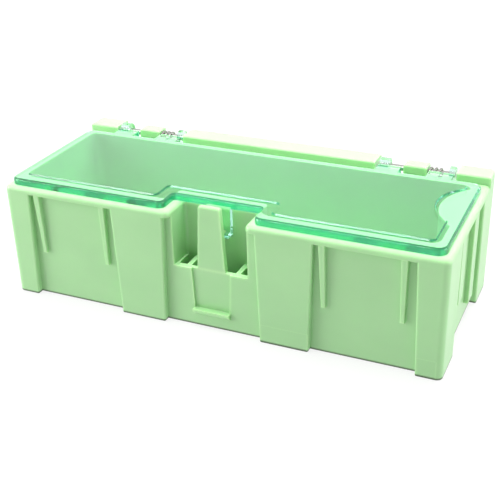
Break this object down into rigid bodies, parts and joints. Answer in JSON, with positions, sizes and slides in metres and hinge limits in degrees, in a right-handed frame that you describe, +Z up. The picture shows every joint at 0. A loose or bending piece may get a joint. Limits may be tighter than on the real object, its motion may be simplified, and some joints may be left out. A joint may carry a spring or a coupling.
{
  "type": "component box",
  "caption": "Long low box for small electronic parts: green plastic body with connector recesses, clear sprung hinged lid and a springy latch tongue.",
  "frame": {"origin": "centre of the body's underside, without the rear and end fins", "axes": "+X along the front to the right, +Y from the latch to the hinges, +Z up"},
  "size_m": [0.076, 0.0326, 0.022],
  "materials": {
    "body_plastic": "satin moulded pale green plastic",
    "clear_plastic": "clear plastic with a green tint, glossy",
    "pin_steel": "bright drawn steel",
    "spring_steel": "spring wire"
  },
  "bodies": {
    "box_body": {"box_body": "body_plastic", "hinge_pin_left": "pin_steel", "hinge_pin_right": "pin_steel", "torsion_spring_left": "spring_steel", "torsion_spring_right": "spring_steel"},
    "lid": {"lid": "clear_plastic"},
    "latch_tongue": {"latch_tongue": "body_plastic"}
  },
  "joints": [
    {"name": "lid_hinge", "type": "hinge", "parent": "box_body", "child": "lid", "pos_m": [0, 0.013, 0.0206], "axis": [-1, 0, 0], "range_deg": [0, 105]},
    {"name": "tongue_flex", "type": "hinge", "parent": "box_body", "child": "latch_tongue", "pos_m": [-0.00025, -0.01428, 0.0104], "axis": [1, 0, 0], "range_deg": [0, 8], "stiffness_Nm_per_rad": 0.05}
  ]
}
